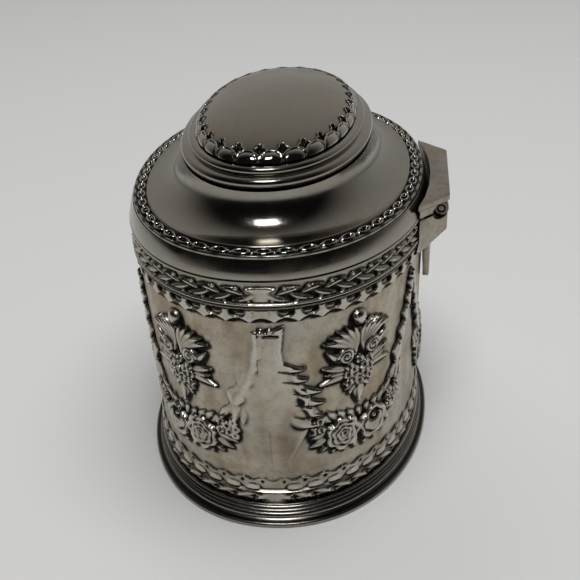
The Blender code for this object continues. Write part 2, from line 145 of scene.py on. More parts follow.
def eased(profile, radius, cuts=4):
    """The closed profile with its corners rounded."""
    points = [Vector(p) for p in profile]
    curve = []
    for i, corner in enumerate(points):
        back, on = points[i - 1] - corner, points[(i + 1) % len(points)] - corner
        start = corner + back * min(radius / back.length, 0.49)
        end = corner + on * min(radius / on.length, 0.49)
        for cut in range(cuts + 1):
            t = cut / cuts
            curve.append(start * (1 - t) ** 2 + corner * 2 * t * (1 - t) + end * t ** 2)
    return [(point.x, point.y) for point in curve]


def turned(profile, steps=400, closed=True):
    """Spins an (inset, height) profile once round the Z axis, still as a round ring."""
    bm = bmesh.new()
    verts = [bm.verts.new((HALF_LENGTH - inset, 0, z)) for inset, z in profile]
    pairs = zip(verts, verts[1:] + verts[:1] if closed else verts[1:])
    edges = [bm.edges.new(pair) for pair in pairs]
    bmesh.ops.spin(bm, geom=verts + edges, cent=(0, 0, 0), axis=(0, 0, 1), angle=math.tau,
                   steps=steps, use_merge=True)
    return bm


def press_to_oval(mesh, narrower=beside_rim):
    """Presses a round ring to the oval; narrower gives a ring's half width."""
    co = np.empty(len(mesh.vertices) * 3)
    mesh.vertices.foreach_get("co", co)
    co = co.reshape(-1, 3)
    half_x = np.hypot(co[:, 0], co[:, 1])
    turn = np.arctan2(co[:, 1], co[:, 0])
    co[:, 0], co[:, 1] = oval(half_x, narrower(half_x), turn)
    mesh.vertices.foreach_set("co", co.ravel())


def hang(piece_name, mesh, material, body, slot, *nodes, sharp=40):
    """Places a finished mesh on its body and lets it stand for its CAD nodes."""
    mesh.transform(Matrix.Translation((0, OVAL_Y * MM, 0)) @ Matrix.Scale(MM, 4))
    mesh.shade_smooth()
    mesh.set_sharp_from_angle(angle=math.radians(sharp))
    mesh.materials.append(material)
    piece = bpy.data.objects.new(piece_name, mesh)
    bpy.context.scene.collection.objects.link(piece)
    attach(piece, body)
    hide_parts(*nodes)


def ring_mesh(name, profile, narrower=beside_rim, steps=400, closed=True):
    """A smooth turned ring, pressed to the oval, with its faces outwards."""
    bm = turned(profile, steps, closed)
    bmesh.ops.holes_fill(bm, edges=[edge for edge in bm.edges if edge.is_boundary], sides=0)
    bmesh.ops.recalc_face_normals(bm, faces=bm.faces)
    mesh = bpy.data.meshes.new(name)
    bm.to_mesh(mesh)
    bm.free()
    press_to_oval(mesh, narrower)
    return mesh


class Value:
    """A number that varies over a surface. Sums and products of it add Math nodes."""

    def __init__(self, tree, socket):
        self.tree, self.socket = tree, socket

    def math(self, operation, first, second, clamp=False):
        node = self.tree.nodes.new("ShaderNodeMath")
        node.operation, node.use_clamp = operation, clamp
        for socket, number in zip(node.inputs, (first, second)):
            if isinstance(number, Value):
                self.tree.links.new(number.socket, socket)
            else:
                socket.default_value = number
        return Value(self.tree, node.outputs[0])

    def __add__(self, other):
        return self.math("ADD", self, other)

    def __sub__(self, other):
        return self.math("SUBTRACT", self, other)

    def __rsub__(self, other):
        return self.math("SUBTRACT", other, self)

    def __mul__(self, other):
        return self.math("MULTIPLY", self, other)

    def limited(self):
        return self.math("ADD", self, 0.0, clamp=True)

    __radd__, __rmul__ = __add__, __mul__


class Finish:
    """One material, with the nodes that feed its shader."""

    def __init__(self, name):
        self.material = bpy.data.materials.new(name)
        self.material.use_nodes = True
        self.tree = self.material.node_tree
        self.shader = self.tree.nodes["Principled BSDF"]

    def node(self, kind, settings, sockets, output=0):
        """Adds a node: its settings first, then the values or links of its sockets."""
        made = self.tree.nodes.new("ShaderNode" + kind)
        for key, setting in settings.items():
            if key == "stops":
                for position, level in setting[2:]:
                    made.color_ramp.elements.new(position)
                for element, (position, level) in zip(made.color_ramp.elements, setting):
                    element.position, element.color = position, (level, level, level, 1)
            else:
                setattr(made, key, setting)
        for key, value in sockets.items():
            if isinstance(value, (Value, bpy.types.NodeSocket)):
                self.tree.links.new(getattr(value, "socket", value), made.inputs[key])
            else:
                made.inputs[key].default_value = value
        return made.outputs[output]

    def value(self, *args, **kwargs):
        return Value(self.tree, self.node(*args, **kwargs))

    def stretched(self, x, y, z):
        """Object coordinates with each axis scaled by itself."""
        coordinates = self.node("TexCoord", {}, {}, output="Object")
        return self.node("Mapping", {}, {"Vector": coordinates, "Scale": (x, y, z)})

    def noise(self, where, scale, detail=3.0, roughness=0.5):
        return self.value("TexNoise", {}, {"Vector": where, "Scale": scale, "Detail": detail,
                                           "Roughness": roughness})

    def ramp(self, value, low, high):
        """0 below low, 1 above high, smooth between."""
        settings = {"interpolation_type": "SMOOTHSTEP"}
        return self.value("MapRange", settings, {"Value": value, "From Min": low, "From Max": high})

    def mixed(self, mask, first, second):
        """One colour where the mask is 0, the other where it is 1."""
        return self.node("Mix", {"data_type": "RGBA"}, {0: mask, 6: first, 7: second}, output=2)

    def feed(self, socket, value):
        if isinstance(value, (Value, bpy.types.NodeSocket)):
            self.tree.links.new(getattr(value, "socket", value), self.shader.inputs[socket])
        else:
            self.shader.inputs[socket].default_value = value


WORN_SILVER, WARM_TARNISH = (0.62, 0.60, 0.56, 1), (0.36, 0.28, 0.18, 1)
GREY_TARNISH, DARK_TARNISH = (0.30, 0.29, 0.27, 1), (0.20, 0.165, 0.12, 1)
# Near black: the oxide in pits, grooves and recesses, and also the colour of the painted shade
# round the relief.
OXIDE_AND_SHADE_BLACK = (0.012, 0.011, 0.010, 1)


def plated(name, base, warm, grey, polish, brushed, pitting, mottled=0.1, embossed=False,
           grooves=()):
    """Silver plate: base is its clean colour, warm and grey how much of it has tarnished to
    brown and to grey, polish its roughness, brushed the depth of its level polishing lines,
    pitting the depth of its small pits, mottled how dark its grains are. Embossed sheets carry
    a worn attribute, and one that blackens narrow recesses with oxide and paints shade on the
    ground round the relief; grooves are the lower and upper heights of blackened lines."""
    finish = Finish(name)
    here = finish.stretched(1, 1, 1)
    clouds = finish.ramp(finish.noise(here, 95, detail=4, roughness=0.6), 0.40, 0.68)
    patches = finish.ramp(finish.noise(here, 42, detail=3), 0.46, 0.66)
    specks = finish.ramp(finish.noise(here, 2100, detail=2), 0.66, 0.74)
    streaks = finish.noise(finish.stretched(45, 45, 3200), 1.0, detail=2)
    fine = finish.noise(here, 900, detail=5, roughness=0.65)
    grains = finish.ramp(finish.noise(here, 420, detail=6, roughness=0.7), 0.44, 0.62)
    colour = finish.mixed((clouds * warm).limited(), base, WARM_TARNISH)
    colour = finish.mixed((patches * grey).limited(), colour, GREY_TARNISH)
    colour = finish.mixed((grains * mottled).limited(), colour, DARK_TARNISH)
    colour = finish.mixed((specks * 0.35).limited(), colour, OXIDE_AND_SHADE_BLACK)
    roughness = polish + clouds * 0.08 + streaks * brushed + fine * 0.06 - 0.06
    if embossed:
        # The embossed darkening: oxide in the narrow recesses, and painted shade on the ground
        # round the relief.
        hollow = finish.value("Attribute", {"attribute_name": "hollow"}, {}, output="Fac")
        worn = finish.value("Attribute", {"attribute_name": "worn"}, {}, output="Fac")
        colour = finish.mixed((worn * 0.75).limited(), colour, WORN_SILVER)
        colour = finish.mixed((hollow * (0.8 + fine * 0.4)).limited(), colour, OXIDE_AND_SHADE_BLACK)
        roughness = roughness - worn * 0.2 + hollow * 0.15
    for low, high in grooves:
        level = finish.value("SeparateXYZ", {}, {"Vector": here}, output="Z")
        off_middle = level.math("ABSOLUTE", level - (low + high) / 2 * MM, 0)
        groove = 1 - finish.ramp(off_middle, (high - low) * 0.25 * MM, (high - low) * 0.5 * MM)
        colour = finish.mixed((groove * 0.92).limited(), colour, OXIDE_AND_SHADE_BLACK)
    finish.feed("Base Color", colour)
    finish.feed("Metallic", 1.0)
    finish.feed("Roughness", roughness.limited())
    height = streaks * brushed + fine * pitting * 0.5 - specks * pitting
    finish.feed("Normal", finish.node("Bump", {}, {"Height": height, "Distance": 0.0001,
                                                   "Strength": 1.0}))
    return finish.material


foot_silver = plated("foot_silver_plate", (0.30, 0.285, 0.26, 1), warm=0.3, grey=0.4, polish=0.22,
                     brushed=0.02, pitting=0.15,
                     grooves=((1.25, 1.75), (2.5, 3.35), (3.8, 4.4), (4.85, 5.45)))
foot_profile = eased([(-1.2, 0), (-1.45, 0.3), (-1.45, 0.95), (-1.15, 1.3), (-0.3, 1.5),
                      (0.35, 1.95), (0.52, 2.5), (0.34, 2.72), (0.24, 3.0), (0.34, 3.28),
                      (0.66, 3.42), (0.66, 3.62), (0.46, 3.76), (0.40, 4.02), (0.48, 4.28),
                      (0.84, 4.44), (0.84, 4.64), (0.64, 4.78), (0.58, 5.06), (0.66, 5.32),
                      (1.02, 5.5), (1.1, FOOT_TOP - 0.15), (1.3, FOOT_TOP), (4.4, FOOT_TOP),
                      (4.4, FOOT_TOP - 1.0), (2.05, 4.6), (1.85, 1.95), (0.55, 0)],
                     radius=0.18, cuts=3)
hang("foot_band", ring_mesh("foot_band", foot_profile), foot_silver, "vessel", "foot_silver",
     "foot_ring")

# ---- base plate: flat sheet that closes the vessel below, resting on the foot's inner lip ----
base_low, base_high = (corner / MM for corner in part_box("base_plate"))
base_inset = HALF_LENGTH - base_high.x
base_silver = plated("base_silver_plate", (0.50, 0.46, 0.39, 1), warm=0.6, grey=0.5, polish=0.38,
                     brushed=0.15, pitting=0.35)
base_profile = [(HALF_LENGTH - 0.5, base_low.z), (base_inset + 0.15, base_low.z),
                (base_inset, base_low.z + 0.15), (base_inset, base_high.z - 0.15),
                (base_inset + 0.15, base_high.z), (base_inset + 3, base_high.z),
                (base_inset + 4, base_high.z - 0.06), (HALF_LENGTH - 0.5, base_high.z - 0.06)]


def plate_width(half_x):
    """Rings inside the outline close evenly on the middle."""
    edge = HALF_LENGTH - base_inset
    return half_x * beside_rim(edge) / edge


hang("base_sheet", ring_mesh("base_sheet", base_profile, plate_width, closed=False), base_silver,
     "vessel", "base_silver", "base_plate")

# ---- wall: two half shells of thin sheet with garlands, borders and cord lines pressed into it
# from behind; they meet in a soldered seam at each narrow end ----
WALL_FOOT, WALL_TOP = (corner.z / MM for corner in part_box("wall_front"))
WALL_INSET_TOP, WALL_INSET_FOOT = 1.0, 2.3
SHEET_THICKNESS = 0.9
turns = np.linspace(0, math.pi, 4001)
middle_line = np.stack(oval(HALF_LENGTH - 1.65, HALF_WIDTH - 1.65, turns), axis=1)
run = np.concatenate([[0], np.cumsum(np.linalg.norm(np.diff(middle_line, axis=0), axis=1))])
HALF_ROUND = run[-1]        # length of half the wall, from seam to seam
UNIT = HALF_ROUND / 3       # one garland from knot to knot
CUP_PITCH = HALF_ROUND / 26


def ground_inset(z):
    down = (WALL_TOP - z) / (WALL_TOP - WALL_FOOT)
    return WALL_INSET_TOP + (WALL_INSET_FOOT - WALL_INSET_TOP) * down


def rounded_top(distance):
    """Height of a dome over its own radius; 0 outside it."""
    return np.sqrt(np.clip(1 - distance ** 2, 0, 1))


def step(value, width):
    """0 below -width, 1 above width."""
    share = np.clip(value / width / 2 + 0.5, 0, 1)
    return share * share * (3 - 2 * share)


class Relief:
    """Heights pressed into a flat sheet, along it and up it in millimetres."""

    def __init__(self, along, up):
        self.along, self.up = along, up
        self.height = np.zeros(np.broadcast(along, up).shape)

    def press(self, height):
        self.height = np.maximum(self.height, height)

    def ball(self, x, z, radius, rise):
        self.press(rise * rounded_top(np.hypot(self.along - x, self.up - z) / radius))

    def leaf(self, root, tip, width, rise, ribs=0, bend=0.0, blunt=0.8):
        """A leaf from root to tip, rising towards its tip, with lengthwise ribs."""
        dx, dz = tip[0] - root[0], tip[1] - root[1]
        length = math.hypot(dx, dz)
        x, z = self.along - root[0], self.up - root[1]
        share = np.clip((x * dx + z * dz) / length ** 2, 0, 1)
        over = np.hypot(x - share * dx, z - share * dz)
        side = np.sign(z * dx - x * dz) * over - bend * 4 * share * (1 - share)
        half = width / 2 * np.sin(math.pi * (0.06 + 0.93 * share) ** blunt) + 1e-3
        across = side / half
        rib = 1 - 0.22 * ribs * (1 - np.cos(across * math.pi * 2 * ribs)) / 2 if ribs else 1
        lift = 0.55 + 0.45 * share
        self.press(rise * lift * rounded_top(across) ** 0.7 * rib)

    def scroll(self, x, z, radius, rise, side):
        """A curled leaf end: a ridge that winds in to a small eye."""
        dx, dz = (self.along - x) * side, self.up - z
        away, angle = np.hypot(dx, dz), np.arctan2(dz, dx) / math.tau % 1
        for turn in (0, 1):
            ridge = radius * (1 - 0.42 * (angle + turn))
            self.press(rise * rounded_top((away - ridge) / (0.24 * radius)))
        self.press(rise * 1.05 * rounded_top(away / (0.22 * radius)))

    def flower(self, x, z, radius, rise, rings, first=0.0):
        """An open flower: rings of petals, (share of radius, petals, lip) from the outside."""
        dx, dz = self.along - x, self.up - z
        away, angle = np.hypot(dx, dz), np.arctan2(dz, dx) + first
        for index, (share, petals, lip) in enumerate(rings):
            edge = radius * share * (1 - 0.15 * np.abs(np.sin(petals * angle / 2 + index)) ** 3)
            inside = np.clip(away / edge, 0, 1)
            cup = rise * (lip - 0.5 * (1 - inside ** 2.5))
            fall = step(edge - away, 0.16)
            if index:
                self.height = np.where(away < edge + 0.15, cup * fall + self.height * (1 - fall)
                                       - 0.25 * rounded_top((away - edge) / 0.3), self.height)
            else:
                self.press(cup * fall)

    def hole(self, x, z, radius, depth):
        self.height = self.height - depth * rounded_top(
            np.hypot(self.along - x, self.up - z) / radius)


def press_pendant(relief):
    """Ball, two acanthus wings with scrolls, a cluster of blossoms and a drop leaf."""
    for side in (-1, 1):
        for tip, width in (((1.9, 56.9), 2.0), ((4.2, 57.1), 2.3), ((6.4, 56.4), 2.4),
                           ((8.5, 55.4), 2.5), ((10.2, 54.0), 2.6)):
            relief.leaf((side * 0.9, 49.6), (side * tip[0], tip[1]), width, 1.35, bend=side * 0.7)
        relief.leaf((side * 0.4, 55.5), (side * 1.3, 48.2), 2.0, 1.05)
        relief.leaf((side * 1.3, 48.4), (side * 9.2, 51.8), 2.7, 1.15, bend=side * -1.8)
        relief.scroll(side * 4.1, 48.9, 2.2, 1.4, side)
        relief.leaf((side * 3.6, 44.4), (side * 10.4, 46.9), 2.3, 1.0, ribs=1)
        relief.leaf((side * 3.6, 43.6), (side * 9.6, 44.6), 2.0, 0.9, ribs=1)
        relief.leaf((side * 3.4, 42.6), (side * 11.6, 42.0), 1.9, 0.95, bend=side * 0.5)
        relief.leaf((side * 0.7, 39.2), (side * 3.1, 36.9), 1.5, 0.9, bend=side * 0.4)
        relief.leaf((side * 0.9, 40.2), (side * 4.2, 38.4), 1.6, 0.85, bend=side * 0.4)
    relief.leaf((0, 39.3), (0, 33.2), 3.6, 1.15, ribs=1)
    for x, z in ((-3.1, 45.4), (0.1, 46.3), (3.3, 45.3), (-1.6, 44.1), (1.6, 44.0), (-3.4, 43.0),
                 (0.1, 42.7), (3.5, 42.8), (-1.8, 41.2), (1.8, 41.3), (-3.3, 40.6), (0, 39.9),
                 (3.2, 40.5)):
        relief.flower(x, z, 1.25, 1.25, ((1.0, 5, 1.0),), first=x)
        relief.hole(x, z, 0.35, 0.9)
    relief.ball(0, 58.3, 2.15, 1.75)


def press_husks(relief, side):
    """A string of husks and beads from the knot down into the garland."""
    chain = (((23.4, 58.6), (22.7, 55.0), 2.9), ((22.5, 54.9), (21.2, 51.4), 3.3),
             ((21.0, 51.2), (19.4, 47.3), 3.8), ((19.2, 47.1), (17.3, 42.9), 4.3),
             ((17.0, 42.7), (14.7, 37.2), 5.0))
    for root, tip, width in chain:
        relief.leaf((side * root[0], root[1]), (side * tip[0], tip[1]), width, 1.4, blunt=0.9)
        relief.ball(side * root[0], root[1], 1.1, 1.25)
    relief.ball(side * 24.5, 59.4, 1.5, 1.5)
    for root, tip, width in (((15.2, 37.4), (12.6, 33.4), 2.4), ((16.6, 36.9), (14.8, 32.0), 2.3),
                             ((14.2, 36.6), (11.0, 33.2), 1.9), ((17.8, 36.3), (17.4, 31.6), 1.9)):
        relief.leaf((side * root[0], root[1]), (side * tip[0], tip[1]), width, 1.1, ribs=1)


def press_swag(relief):
    """The heavy middle of a garland: a rose, a cupped flower, berries, leaves."""
    for tip, root, width in (((-15.6, 25.4), (-8.0, 28.0), 3.2), ((-14.2, 23.2), (-7.0, 26.4), 3.0),
                             ((-11.4, 21.6), (-6.0, 25.0), 3.0), ((-8.2, 20.2), (-4.6, 24.4), 2.8),
                             ((-4.6, 19.4), (-3.2, 23.6), 2.6), ((-1.2, 18.9), (-1.6, 23.4), 2.4),
                             ((1.8, 18.5), (2.4, 23.0), 2.6), ((5.8, 18.2), (5.0, 22.6), 2.8),
                             ((9.6, 19.0), (7.2, 23.2), 2.8), ((12.4, 20.8), (8.6, 24.2), 2.8),
                             ((15.4, 23.4), (9.8, 25.8), 2.8), ((17.4, 26.6), (11.2, 27.8), 2.8)):
        relief.leaf(root, tip, width, 1.0, ribs=1)
    for tip, root, width in (((-12.4, 33.4), (-8.4, 30.2), 2.2), ((-9.2, 33.6), (-6.4, 30.0), 2.1),
                             ((-6.4, 32.9), (-4.2, 29.6), 2.1), ((-3.4, 32.2), (-1.8, 29.0), 2.1),
                             ((-0.2, 32.0), (0.6, 28.6), 2.0), ((3.0, 32.0), (2.6, 28.6), 2.0),
                             ((6.2, 32.2), (5.0, 29.0), 2.0), ((9.4, 32.8), (7.2, 29.4), 2.0),
                             ((12.0, 33.8), (9.4, 30.4), 2.0)):
        relief.leaf(root, tip, width, 1.0, ribs=1)
    for x, z in ((-14.6, 31.6), (-12.9, 30.2), (-15.2, 29.6), (-11.2, 31.4), (-13.4, 28.2),
                 (-11.0, 28.8), (-14.9, 27.4), (11.6, 30.4), (13.4, 29.0), (11.2, 28.2),
                 (15.2, 30.4), (13.2, 26.8), (15.4, 28.2), (11.4, 26.0)):
        relief.flower(x, z, 1.2, 1.3, ((1.0, 5, 1.0),), first=z)
        relief.hole(x, z, 0.32, 0.8)
    relief.flower(-4.8, 25.6, 5.1, 1.45, ((1.0, 7, 1.0), (0.72, 6, 1.12), (0.46, 5, 1.22),
                                          (0.22, 3, 1.28)))
    relief.flower(4.9, 24.8, 5.0, 1.4, ((1.0, 5, 1.0), (0.66, 4, 1.12)), first=0.9)
    relief.hole(5.1, 26.3, 2.2, 1.0)
    relief.ball(5.4, 26.0, 0.8, 1.1)
    relief.hole(-4.6, 25.7, 0.45, 0.7)


# The solder patch over a seam: (height, reach to the crisp side, reach to the worn side).
PATCH = ((20, 5.0, 8.0), (28, 9.0, 9.5), (32, 10.4, 9.6), (36, 10.8, 9.0), (40, 10.2, 7.4),
         (43.5, 8.6, 5.6), (46, 7.4, 4.4), (49.3, 6.6, 3.4), (50.1, 4.3, 3.3), (54, 3.9, 2.7),
         (59.3, 4.5, 2.5))
LEAF_ENDS = (((2.6, 50.0), (9.7, 48.4), 3.1), ((3.6, 47.0), (10.6, 45.2), 3.4),
             ((4.6, 43.6), (14.0, 41.0), 4.3), ((5.0, 40.0), (14.6, 37.4), 4.2),
             ((5.4, 36.6), (13.4, 33.8), 4.2), ((5.6, 33.2), (12.4, 30.6), 4.0))


def press_seam(relief, from_seam, crisp):
    """Solder has smoothed the ornament at a seam; its leaf ends step out on the crisp side."""
    up = relief.up
    spread = np.where(crisp, 7.4, 10.0) + 0.2 * np.clip(46 - up, 0, 16) * crisp
    smear = 1 - step(from_seam - spread, np.where(crisp, 1.6, 4.0))
    smear = smear * (up > 15) * step(61.5 - up, 0.6) * np.where(crisp, 1, 0.85)
    levels, crisp_reach, worn_reach = np.array(PATCH).T
    reach = np.where(crisp, np.interp(up, levels, crisp_reach), np.interp(up, levels, worn_reach))
    share = np.clip((reach - from_seam) / np.where(crisp, 0.25, 0.9) / 2 + 0.5, 0, 1)
    patch = 0.8 * share * share * (3 - 2 * share) * step(59.2 - up, 0.3) * step(up - 28, 12.0)
    relief.height = relief.height * (1 - smear) + patch * (smear > 0)
    ends = Relief(np.where(crisp, from_seam, -from_seam), up)
    for root, tip, width in LEAF_ENDS:
        ends.leaf(root, tip, width, 1.2, bend=-0.7, blunt=0.42)
        below = (tip[0] + root[0]) / 2 + 0.8, (tip[1] + root[1]) / 2 - 1.75
        undercut = np.hypot((ends.along - below[0]) / 4.2,
                            (up - below[1] + 0.2 * (ends.along - below[0])) / 0.4)
        relief.height = relief.height - 0.7 * rounded_top(undercut) * (relief.height > 0.5)
    ends.leaf((1.8, 58.6), (4.8, 60.9), 1.9, 1.05, bend=-0.4)
    ends.ball(-0.6, 59.3, 0.85, 1.5)
    ends.ball(1.5, 59.6, 0.7, 1.0)
    relief.press(ends.height)
    relief.height = relief.height - 0.6 * rounded_top(np.hypot((ends.along - 1.6) / 2.2,
                                                               (up - 58.3) / 0.45))


UPPER_CORDS = ((66.15, 0.34), (66.95, 0.4))     # height and half width of each cord line
LOWER_CORD = 9.85


def press_borders(relief, seam_fade):
    """Borders: leaves, double cord, cups and scallops above; domed scallops, cord below."""
    along, up = relief.along, relief.up
    offset = (along / CUP_PITCH + 0.5) % 1 - 0.5
    from_cup = np.abs(offset) * CUP_PITCH
    lace = 63.2 - 1.35 * (from_cup / (CUP_PITCH / 2)) ** 2.0
    plate = 0.75 * step(up - lace, 0.22) * step(65.95 - up, 0.1)
    cup = np.hypot(from_cup / 2.15, np.where(up > 65.2, (up - 65.2) / 0.55, (up - 65.2) / 1.75))
    plate = plate - 0.85 * seam_fade * rounded_top(cup) ** 0.5
    bright = np.hypot((offset * CUP_PITCH + 0.35) / 0.95, (up - 64.35) / 0.42)
    plate = plate + 0.5 * seam_fade * rounded_top(bright)
    relief.press(plate * (up > 58))
    for z, radius in UPPER_CORDS:
        ridge = 1.15 * rounded_top((up - z) / radius) ** 0.6
        relief.height = np.maximum(relief.height - 0.5 * (np.abs(up - z) < radius * 1.7), ridge)
    leaves = Relief(offset * CUP_PITCH, up)
    for row, lean in ((68.5, -1), (70.3, 1)):
        for index in (-1.5, -0.5, 0.5):
            start = (index + 0.25 * lean) * CUP_PITCH
            leaves.leaf((start, row - 0.75 * lean), (start + 5.2, row + 0.55 * lean), 1.7, 1.2,
                        ribs=1, bend=0.35 * lean)
            leaves.ball(start + 1.2, row + 0.85 * lean, 0.42, 0.9)
    smooth_leaves = 0.55 * step(71.3 - up, 0.3) * step(up - 67.4, 0.3)
    relief.press((leaves.height * seam_fade + smooth_leaves * (1 - seam_fade)) * (up > 67.3))
    dome = np.hypot(from_cup / 2.45, (up - 10.4) / 2.35) + 9 * (up < 10.4)
    relief.press(seam_fade * 0.95 * rounded_top(dome) ** 0.8)
    web = 13.55 - 0.75 * np.cos(offset * math.tau) * 0.6
    relief.press(0.55 * seam_fade * rounded_top((up - web) / 0.3))
    relief.press(0.34 * step(web - up, 0.2) * (up > 10))
    dot = np.hypot((CUP_PITCH / 2 - from_cup) / 0.6, (up - 12.9) / 0.5)
    relief.height = relief.height - 0.5 * seam_fade * rounded_top(dot)
    ridge = rounded_top((up - LOWER_CORD) / 0.36) ** 0.6
    relief.height = np.maximum(relief.height - 0.4 * (np.abs(up - LOWER_CORD) < 0.62), ridge)
    low = Relief(offset * CUP_PITCH, up)
    for index in (-1, 0):
        start = index * CUP_PITCH
        low.leaf((start, 8.6), (start + 5.2, 7.0), 1.9, 0.9, ribs=1)
        low.leaf((start + 0.4, 6.9), (start + 5.4, 8.6), 1.2, 0.7)
    smooth_low = 0.5 * step(9.2 - up, 0.3)
    relief.press((low.height * seam_fade + smooth_low * (1 - seam_fade)) * (up < 9.4))


def softened(height, cells):
    """The heights blurred over a square of cells, twice."""
    for axis in (0, 1, 0, 1):
        padded = np.pad(height, [(cells, cells + 1) if a == axis else (0, 0) for a in (0, 1)],
                        mode="edge")
        total = np.cumsum(padded, axis=axis)
        ends = np.split(total, [2 * cells + 1, total.shape[axis]], axis=axis)[1]
        starts = np.take(total, range(height.shape[axis]), axis=axis)
        height = (ends - starts) / (2 * cells + 1)
    return height


def sheet_mesh(name, place, **layers):
    """A grid whose rows and columns stand at these places, closed, with its attributes."""
    rows, columns = place.shape[0] - 1, place.shape[1] - 1
    bm = bmesh.new()
    bmesh.ops.create_grid(bm, x_segments=columns, y_segments=rows, size=1.0)
    mesh = bpy.data.meshes.new(name)
    bm.to_mesh(mesh)
    flat = np.empty(len(mesh.vertices) * 3)
    mesh.vertices.foreach_get("co", flat)
    flat = flat.reshape(-1, 3)
    column = np.rint((flat[:, 0] + 1) / 2 * columns).astype(int)
    row = np.rint((flat[:, 1] + 1) / 2 * rows).astype(int)
    mesh.vertices.foreach_set("co", place[row, column].ravel())
    for attribute, values in layers.items():
        layer = mesh.attributes.new(attribute, "FLOAT", "POINT")
        layer.data.foreach_set("value", values[row, column].astype(np.float32))
    bm.clear()
    bm.from_mesh(mesh)
    bmesh.ops.remove_doubles(bm, verts=bm.verts, dist=1e-4)
    bmesh.ops.delete(bm, geom=[edge for edge in bm.edges if edge.is_wire], context="EDGES")
    bmesh.ops.holes_fill(bm, edges=[edge for edge in bm.edges if edge.is_boundary], sides=0)
    bmesh.ops.recalc_face_normals(bm, faces=bm.faces)
    bm.to_mesh(mesh)
    bm.free()
    return mesh


SEAM_SHIFT = 1.6            # the seams stand this far round from the narrow ends' middles


def wall_relief(along, up, side):
    """All that is pressed into half the wall; side is 1 at the hinge side and -1 opposite."""
    round_wall = (side * along - SEAM_SHIFT + HALF_ROUND) % (2 * HALF_ROUND) - HALF_ROUND
    from_front = np.abs(round_wall)
    relief = Relief(from_front, up)
    unit = Relief(from_front % UNIT - UNIT / 2, up)
    press_swag(unit)
    for arm in (-1, 1):
        press_husks(unit, arm)
    press_pendant(unit)
    relief.press(unit.height)
    from_seam = np.minimum(from_front, HALF_ROUND - from_front)
    press_seam(relief, from_seam, (round_wall > 0) == (from_front < HALF_ROUND / 2))
    if side > 0:
        covered = step(12.8 - np.abs(along - HALF_ROUND / 2), 1.0) * step(up - 33.8, 0.8)
        relief.height = relief.height * (1 - covered)
    press_borders(relief, step(from_seam - 2.6, 1.8))
    swell = 0.05 * np.sin(along * 0.31 + 1) * np.sin(up * 0.19) + 0.02 * np.sin(along * 0.9)
    return relief.height + swell - 0.02 * rounded_top(from_seam / 0.3) * (up < 30)


EDGE_BLUR, SHADE_HALO_BLUR = 0.45, 1.5    # reach of the black oxide at sharp edges, and of the painted shade round the relief
INNER_ROWS, INNER_BLUR, INNER_TARNISH = 10, 0.8, 0.35    # the sheet's plainer inner face


def wall_sheet(name, side, first, last, low, high, cell):
    """One closed piece of the wall between two runs along it and two heights."""
    columns = int((last - first) / cell)
    rows = int((high - low) / cell)
    along = np.linspace(first, last, columns + 1)[None, :]
    up = np.linspace(low, high, rows + 1)[:, None]
    height = wall_relief(along, up, side)
    near = softened(height, max(2, int(EDGE_BLUR / cell)))
    wide = softened(height, int(SHADE_HALO_BLUR / cell))
    # Black oxide in the narrow recesses, plus painted shade on the ground round the relief.
    hollow = np.clip((near - height) / 0.11, 0, 1) + np.clip((wide - height - 0.06) / 0.9, 0, 1)
    worn = np.clip((height - wide - 0.1) / 0.5, 0, 0.75) + 0.25 * (height > 0.4)

    inner_rows = np.linspace(rows, 0, INNER_ROWS).astype(int)
    inside, inner_up = softened(height, int(INNER_BLUR / cell))[inner_rows], up[inner_rows]
    z = np.concatenate([np.broadcast_to(up, height.shape),
                        np.broadcast_to(inner_up, inside.shape)])
    inset = np.concatenate([ground_inset(up) - height,
                            ground_inset(inner_up) + SHEET_THICKNESS - 0.7 * inside])
    z, inset = np.concatenate([z, z[:1]]), np.concatenate([inset, inset[:1]])
    turn = np.interp(along, run, turns)
    x, y = oval(HALF_LENGTH - inset, HALF_WIDTH - inset, turn)
    unseen = np.full((INNER_ROWS + 1, columns + 1), INNER_TARNISH)
    return sheet_mesh(name, np.stack([x, side * y, z], axis=-1),
                      hollow=np.concatenate([np.clip(hollow, 0, 1), unseen]),
                      worn=np.concatenate([np.clip(worn, 0, 1), unseen * 0]))


wall_silver = plated("wall_silver_plate", (0.50, 0.455, 0.375, 1), warm=0.7, grey=0.3, polish=0.40,
                     brushed=0.0, pitting=0.5, mottled=0.34, embossed=True)
BAND_LOW, BAND_HIGH = 14.4, 61.6
for side, half in ((-1, "front"), (1, "back")):
    node, middle = "wall_" + half, HALF_ROUND / 2
    for part, first, last, low, high, cell in (
            ("lower_border", 0, HALF_ROUND, WALL_FOOT - 0.25, BAND_LOW, 0.26),
            ("near_garlands", 0, middle, BAND_LOW, BAND_HIGH, 0.22),
            ("far_garlands", middle, HALF_ROUND, BAND_LOW, BAND_HIGH, 0.22),
            ("upper_border", 0, HALF_ROUND, BAND_HIGH, WALL_TOP, 0.22)):
        piece_name = f"{node}_{part}"
        hang(piece_name, wall_sheet(piece_name, side, first, last, low, high, cell), wall_silver,
             "vessel", "wall_silver", node, sharp=75)

# ---- mouth bezel: plain strip soldered inside the mouth; the lid closes over it ----
bezel_low, bezel_high = (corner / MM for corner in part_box("mouth_bezel"))
bezel_outer = HALF_LENGTH - bezel_high.x
bezel_silver = plated("bezel_silver_plate", (0.55, 0.52, 0.46, 1), warm=0.4, grey=0.3, polish=0.26,
                      brushed=0.18, pitting=0.2)
bezel_profile = eased([(bezel_outer, bezel_low.z), (bezel_outer, bezel_high.z - 0.4),
                       (bezel_outer + 0.35, bezel_high.z), (bezel_outer + 0.8, bezel_high.z - 0.1),
                       (bezel_outer + 0.8, bezel_low.z)], radius=0.2)
hang("mouth_strip", ring_mesh("mouth_strip", bezel_profile), bezel_silver, "vessel",
     "bezel_silver", "mouth_bezel")

